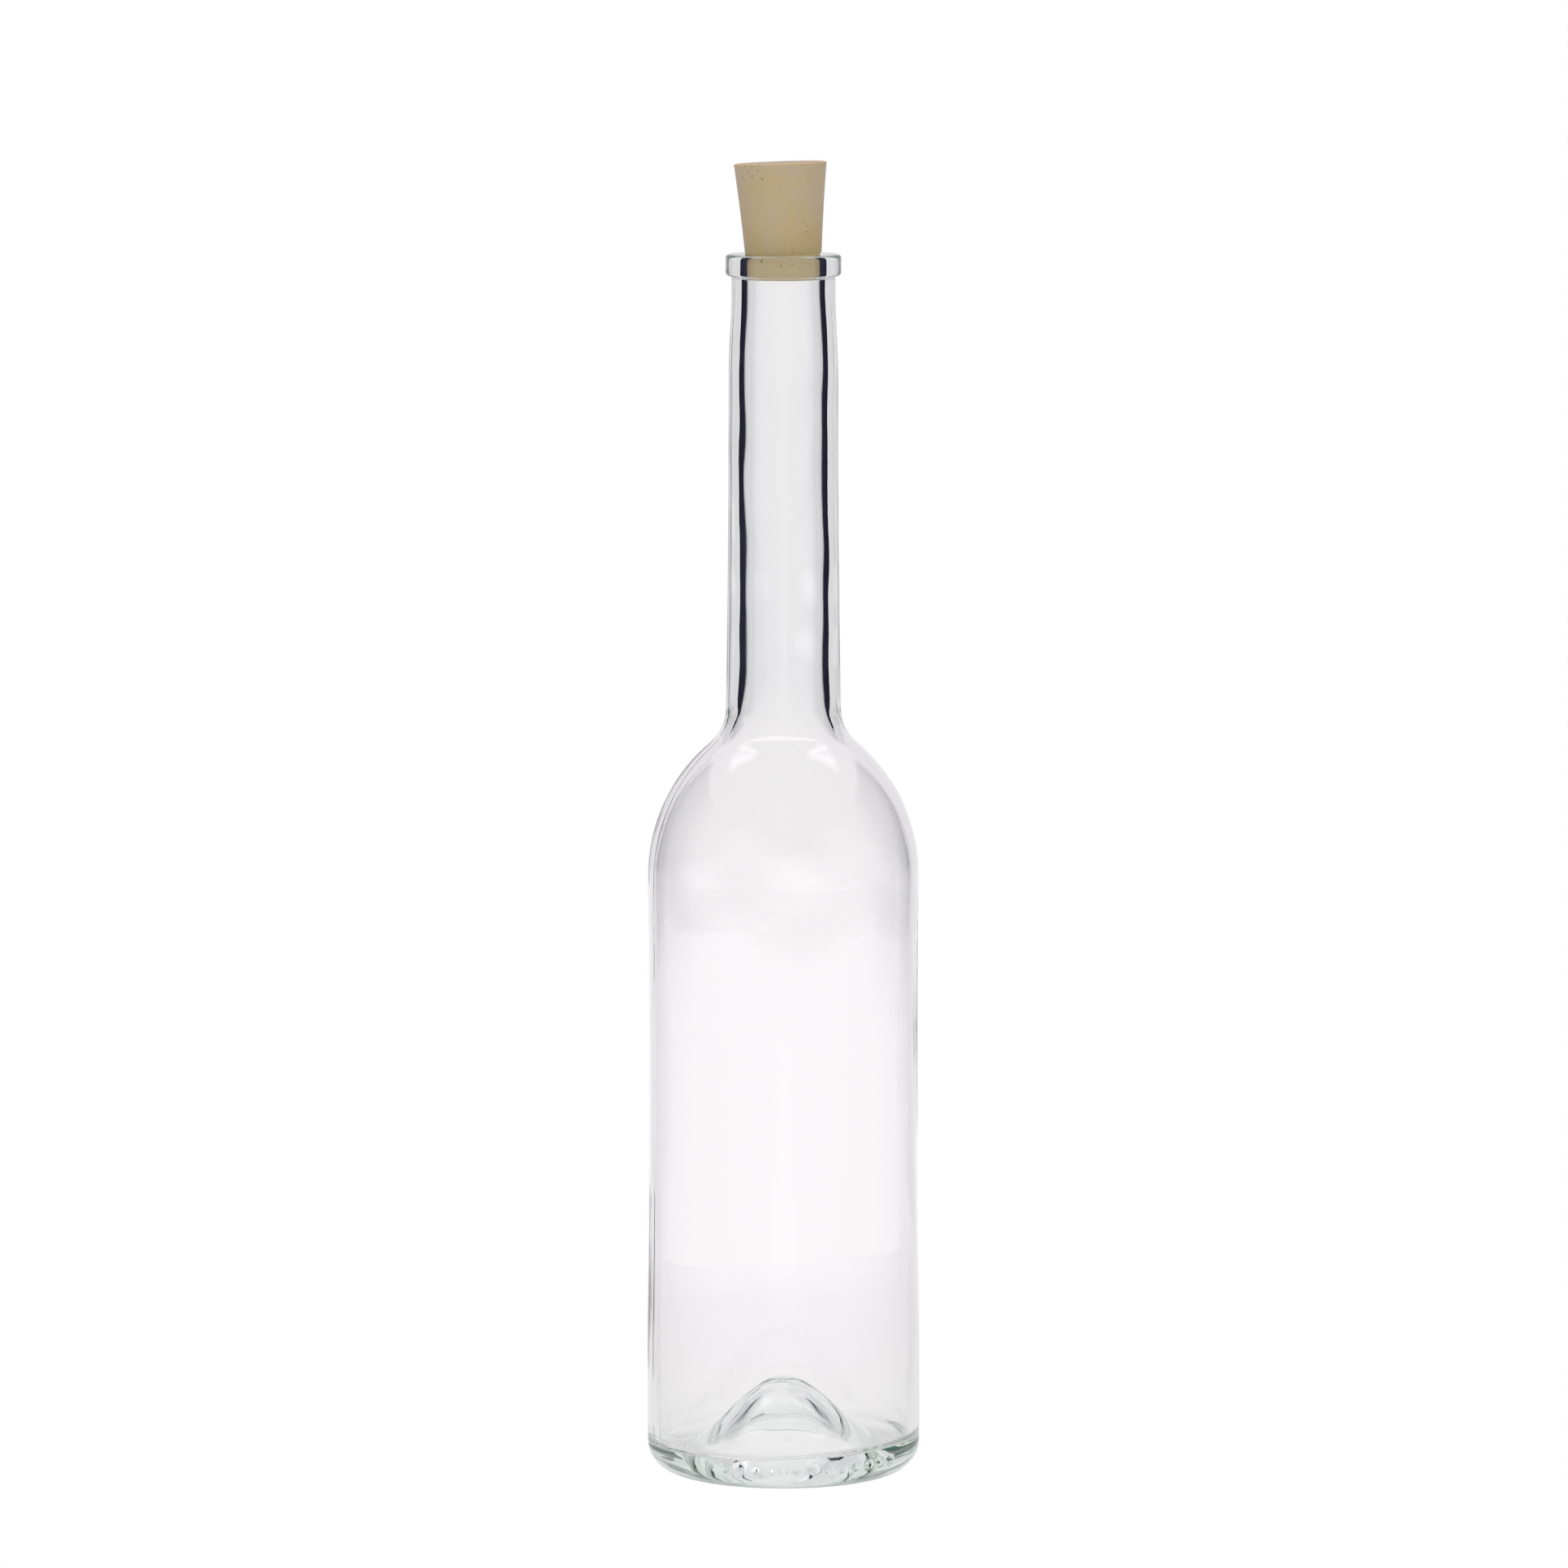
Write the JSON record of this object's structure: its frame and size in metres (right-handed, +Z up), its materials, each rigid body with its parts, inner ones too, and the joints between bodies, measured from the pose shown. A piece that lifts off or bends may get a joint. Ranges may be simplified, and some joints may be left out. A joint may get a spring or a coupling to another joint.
{
  "type": "corked glass bottle",
  "caption": "Long-necked clear glass bottle with a domed shoulder, a ring round the mouth and a punt in its base, closed by a tapered cork.",
  "frame": {"origin": "the middle of the flat ring that the bottle stands on, at the height of the surface under it", "axes": "+Z up along the bottle's axis, +X to the right in the picture, +Y away from its viewer"},
  "size_m": [0.0682, 0.0682, 0.3277],
  "materials": {
    "clear_glass": "smooth blown clear glass, faintly green where it is thick",
    "natural_cork": "sanded natural cork, matt"
  },
  "bodies": {
    "bottle": {"glass_bottle": "clear_glass"},
    "cork": {"cork_stopper": "natural_cork"}
  },
  "joints": [
    {"name": "cork_pull", "type": "slide", "parent": "bottle", "child": "cork", "axis": [-0.0349, 0.0175, 0.9992], "range_m": [0, 0.045]}
  ]
}
